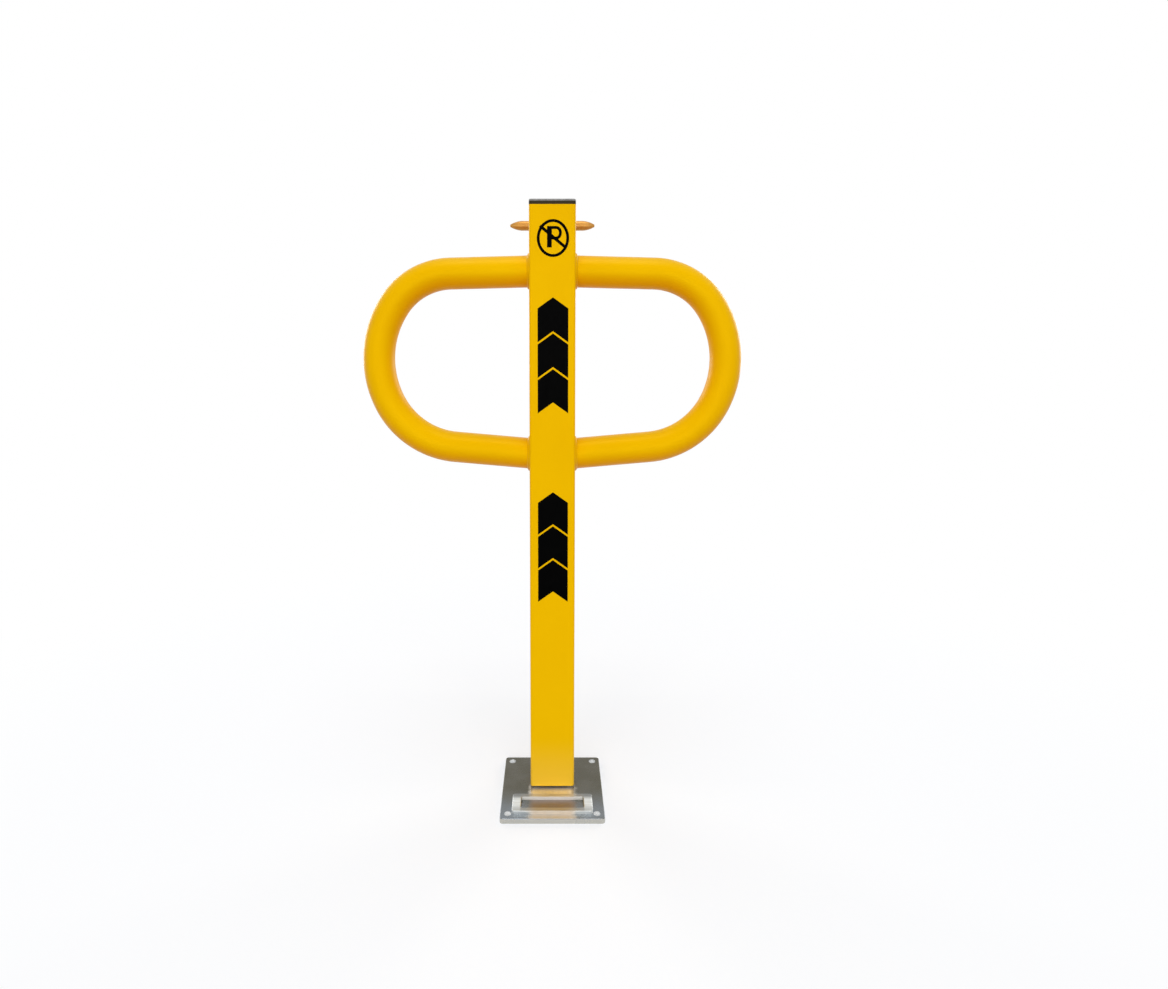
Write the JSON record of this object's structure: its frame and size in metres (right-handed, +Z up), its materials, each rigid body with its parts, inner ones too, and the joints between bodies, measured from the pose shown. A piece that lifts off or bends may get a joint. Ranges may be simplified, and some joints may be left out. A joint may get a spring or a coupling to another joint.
{
  "type": "lockable parking barrier",
  "caption": "Fold-down parking barrier: square post with a bent tube hoop on each side, T-handle lock that drives a bolt into the galvanised base plate.",
  "frame": {"origin": "centre of the four anchor holes, on the base plate's underside", "axes": "+Z up along the standing post, +Y to the back, where the T-handle is, +X to the right seen from the front"},
  "size_m": [0.5878, 0.1746, 0.9335],
  "materials": {
    "yellow_paint": "satin powder coat",
    "galvanised_steel": "bright zinc",
    "plain_steel": "zinc plated",
    "black_plastic": "moulded, fine grain",
    "handle_metal": "polished",
    "lock_metal": "satin nickel"
  },
  "bodies": {
    "base": {"base_plate": "galvanised_steel", "landing_frame": "galvanised_steel", "hinge_lug_left": "galvanised_steel", "hinge_lug_right": "galvanised_steel", "keeper_bush": "galvanised_steel"},
    "post": {"post_tube": "yellow_paint", "hoop_left": "yellow_paint", "hoop_right": "yellow_paint", "top_cap": "black_plastic", "hinge_pin": "plain_steel", "hinge_sleeve_left": "plain_steel", "hinge_sleeve_middle": "plain_steel", "hinge_sleeve_right": "plain_steel", "rod_guide_lower": "plain_steel", "rod_guide_upper": "plain_steel", "lock_housing": "lock_metal", "housing_nut": "plain_steel", "handle_washer": "plain_steel"},
    "handle": {"t_handle": "handle_metal", "crank": "plain_steel", "crank_screw": "plain_steel"},
    "key": {"key_plug": "lock_metal", "plug_cam": "plain_steel"},
    "rod": {"lock_rod": "plain_steel", "rod_yoke": "plain_steel", "yoke_pin": "plain_steel"}
  },
  "joints": [
    {"name": "post_fold", "type": "hinge", "parent": "base", "child": "post", "pos_m": [0, 0.0035, 0.0227], "axis": [1, 0, 0], "range_deg": [0, 90]},
    {"name": "handle_turn", "type": "hinge", "parent": "post", "child": "handle", "pos_m": [0, 0.064, 0.9094], "axis": [0, 1, 0], "range_deg": [0, 90]},
    {"name": "rod_slide", "type": "slide", "parent": "post", "child": "rod", "axis": [0, 0, -1], "range_m": [0, 0.012]},
    {"name": "key_turn", "type": "hinge", "parent": "handle", "child": "key", "pos_m": [0, 0.064, 0.9139], "axis": [0, -1, 0], "range_deg": [0, 90]}
  ],
  "couplings": [
    {"joint": "handle_turn", "follows": "rod_slide", "rad_per_m": 130.8}
  ]
}
